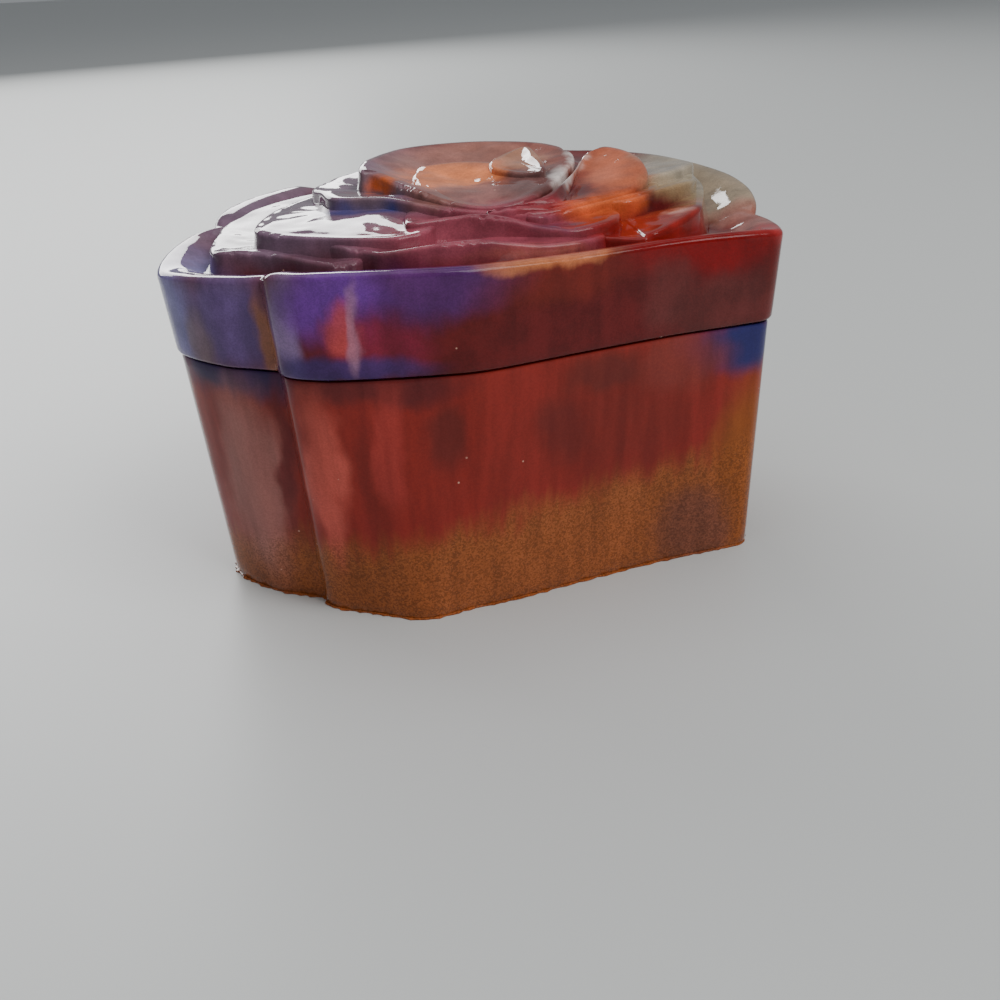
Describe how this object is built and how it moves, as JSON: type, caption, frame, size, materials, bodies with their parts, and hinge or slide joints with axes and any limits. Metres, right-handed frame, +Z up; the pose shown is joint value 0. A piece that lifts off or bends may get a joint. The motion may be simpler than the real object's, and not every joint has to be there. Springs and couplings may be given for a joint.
{
  "type": "trinket box",
  "caption": "Cast-resin trinket box in the shape of an open rose, with a tapered petal-grooved base and a lift-off lid carved as overlapping petals.",
  "frame": {"origin": "on the table, under the middle of the closed box", "axes": "+Z up out of the base; -Y toward the front, where the front petal's groove is left of the middle; +X to the box's right"},
  "size_m": [0.1, 0.1, 0.0652],
  "materials": {
    "base_resin": "glossy cast epoxy resin, red with dark and violet clouds over a copper glitter foot",
    "lid_resin": "glossy cast epoxy resin, slate blue and violet running into maroon and red"
  },
  "bodies": {
    "base": {"box_base": "base_resin"},
    "lid": {"rose_lid": "lid_resin"}
  },
  "joints": [
    {"name": "lid_lift", "type": "slide", "parent": "base", "child": "lid", "axis": [0, 0, 1], "range_m": [0, 0.06]}
  ]
}
